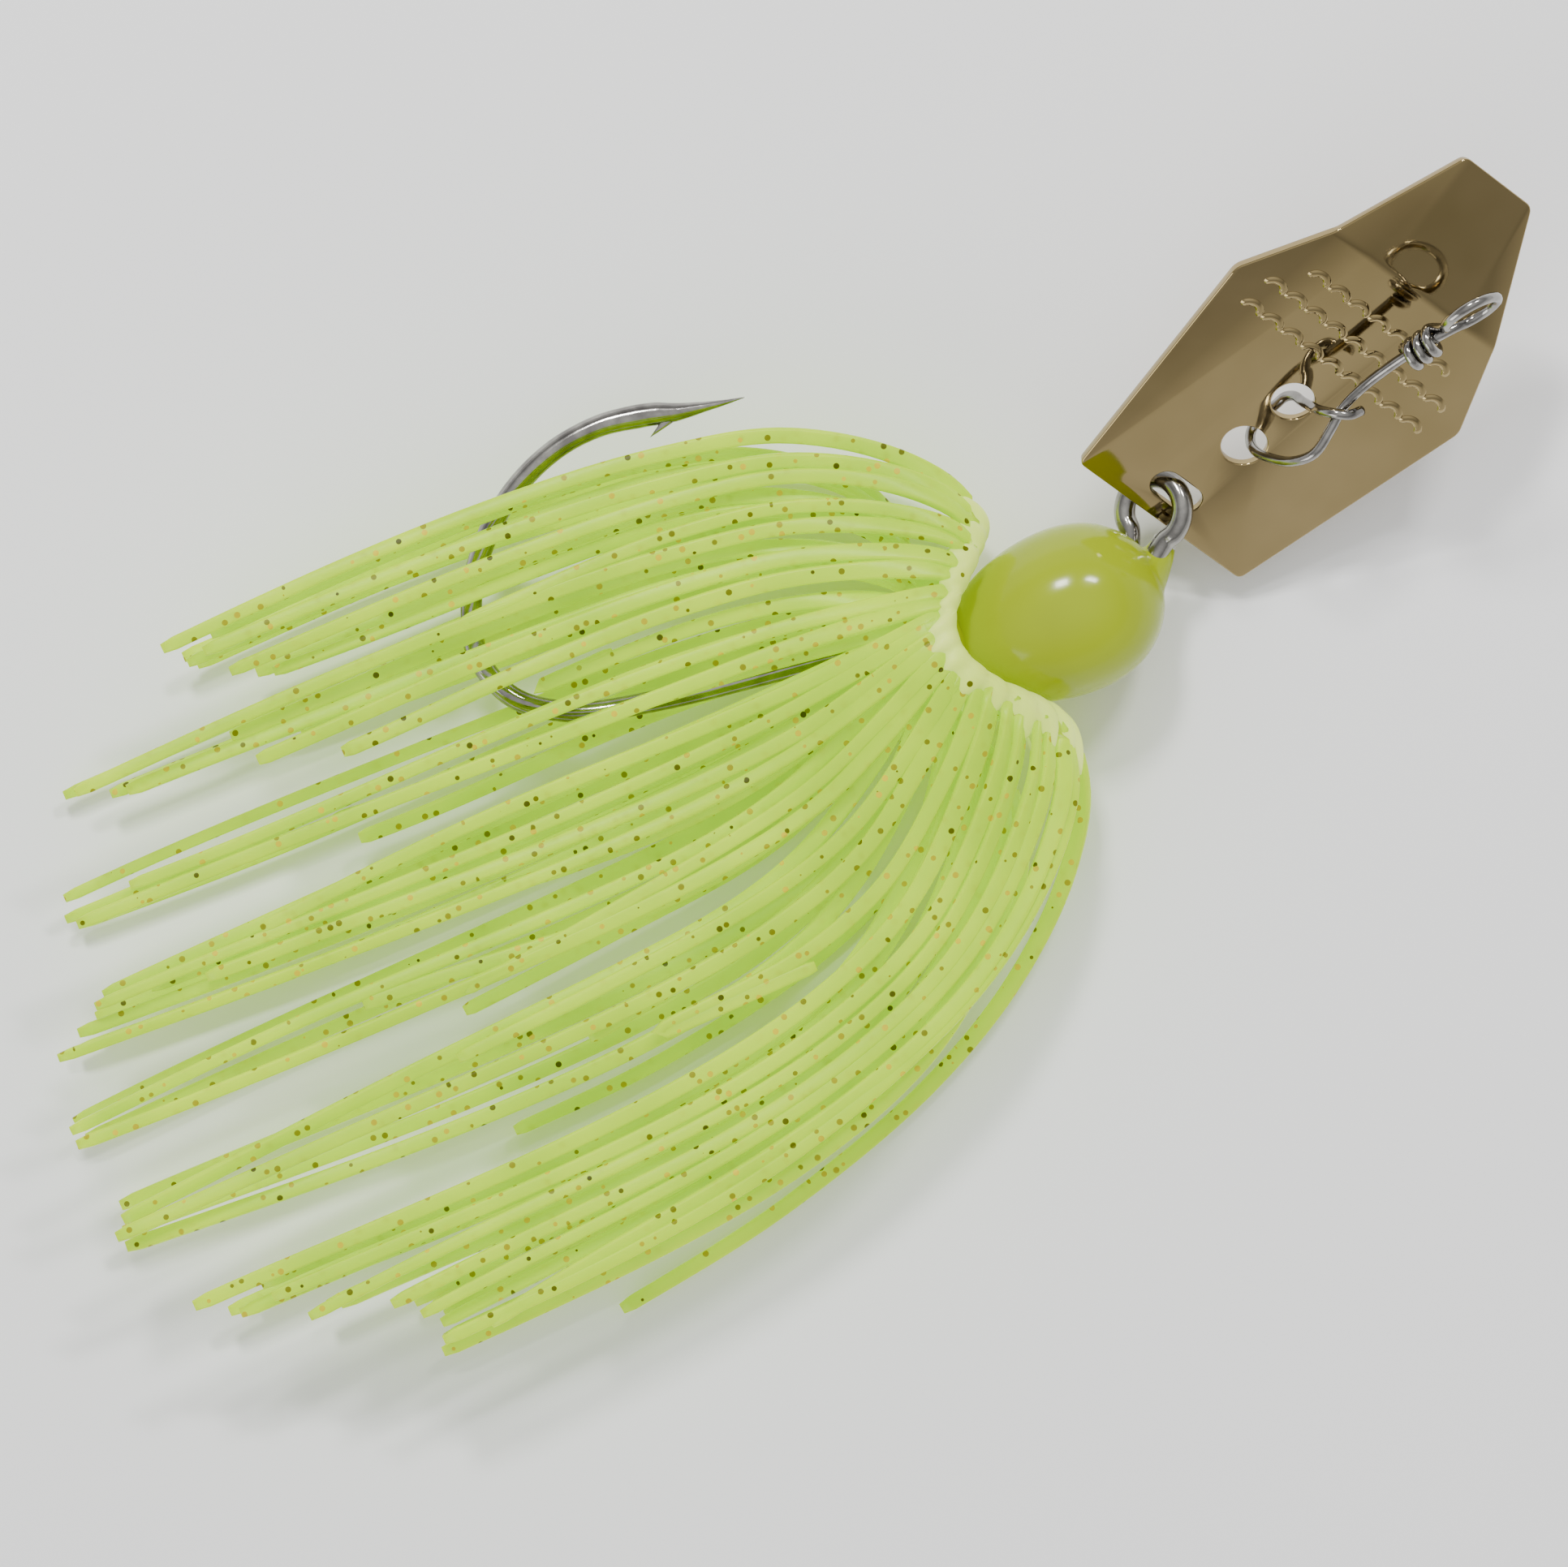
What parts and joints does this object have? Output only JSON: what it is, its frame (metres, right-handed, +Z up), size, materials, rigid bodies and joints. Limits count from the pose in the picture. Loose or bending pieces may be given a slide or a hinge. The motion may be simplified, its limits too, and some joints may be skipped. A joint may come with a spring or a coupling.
{
  "type": "bladed jig fishing lure",
  "caption": "Bladed jig lying on its side: painted lead head on a hook, bent hexagonal blade linked to the hook's eye, wire line snap and a full silicone skirt.",
  "frame": {"origin": "centre of the footprint, on the surface that the lure lies on", "axes": "+X along the hook's shank from the skirt's ends to the blade, +Y towards the hook's point, +Z up"},
  "size_m": [0.1166, 0.058, 0.0223],
  "materials": {
    "head_paint": "gloss",
    "nickel_wire": "polished",
    "blade_metal": "polished",
    "silicone": "satin"
  },
  "bodies": {
    "jig": {"jig_head": "head_paint", "hook": "nickel_wire", "skirt_collar": "silicone", "skirt_strand_01": "silicone", "skirt_strand_02": "silicone", "skirt_strand_03": "silicone", "skirt_strand_04": "silicone", "skirt_strand_05": "silicone", "skirt_strand_06": "silicone", "skirt_strand_07": "silicone", "skirt_strand_08": "silicone", "skirt_strand_09": "silicone", "skirt_strand_10": "silicone", "skirt_strand_11": "silicone", "skirt_strand_12": "silicone", "skirt_strand_13": "silicone", "skirt_strand_14": "silicone", "skirt_strand_15": "silicone", "skirt_strand_16": "silicone", "skirt_strand_17": "silicone", "skirt_strand_18": "silicone", "skirt_strand_19": "silicone", "skirt_strand_20": "silicone", "skirt_strand_21": "silicone", "skirt_strand_22": "silicone", "skirt_strand_23": "silicone", "skirt_strand_24": "silicone", "skirt_strand_25": "silicone", "skirt_strand_26": "silicone", "skirt_strand_27": "silicone", "skirt_strand_28": "silicone", "skirt_strand_29": "silicone", "skirt_strand_30": "silicone", "skirt_strand_31": "silicone", "skirt_strand_32": "silicone", "skirt_strand_33": "silicone", "skirt_strand_34": "silicone", "skirt_strand_35": "silicone", "skirt_strand_36": "silicone", "skirt_strand_37": "silicone", "skirt_strand_38": "silicone", "skirt_strand_39": "silicone", "skirt_strand_40": "silicone", "skirt_strand_41": "silicone", "skirt_strand_42": "silicone", "skirt_strand_43": "silicone", "skirt_strand_44": "silicone", "skirt_strand_45": "silicone", "skirt_strand_46": "silicone", "skirt_strand_47": "silicone", "skirt_strand_48": "silicone", "skirt_strand_49": "silicone", "skirt_strand_50": "silicone", "skirt_strand_51": "silicone", "skirt_strand_52": "silicone"},
    "blade": {"blade": "blade_metal"},
    "snap": {"line_snap": "nickel_wire"}
  },
  "joints": [
    {"name": "blade_swing", "type": "hinge", "parent": "jig", "child": "blade", "pos_m": [0.02706, 0.00792, 0.00585], "axis": [-0.4763, 0.2323, 0.848], "range_deg": [-35, 50]},
    {"name": "snap_swing", "type": "hinge", "parent": "blade", "child": "snap", "pos_m": [0.03681, 0.01107, 0.00911], "axis": [0.8573, 0.2985, 0.4195], "range_deg": [-42, 20]}
  ]
}
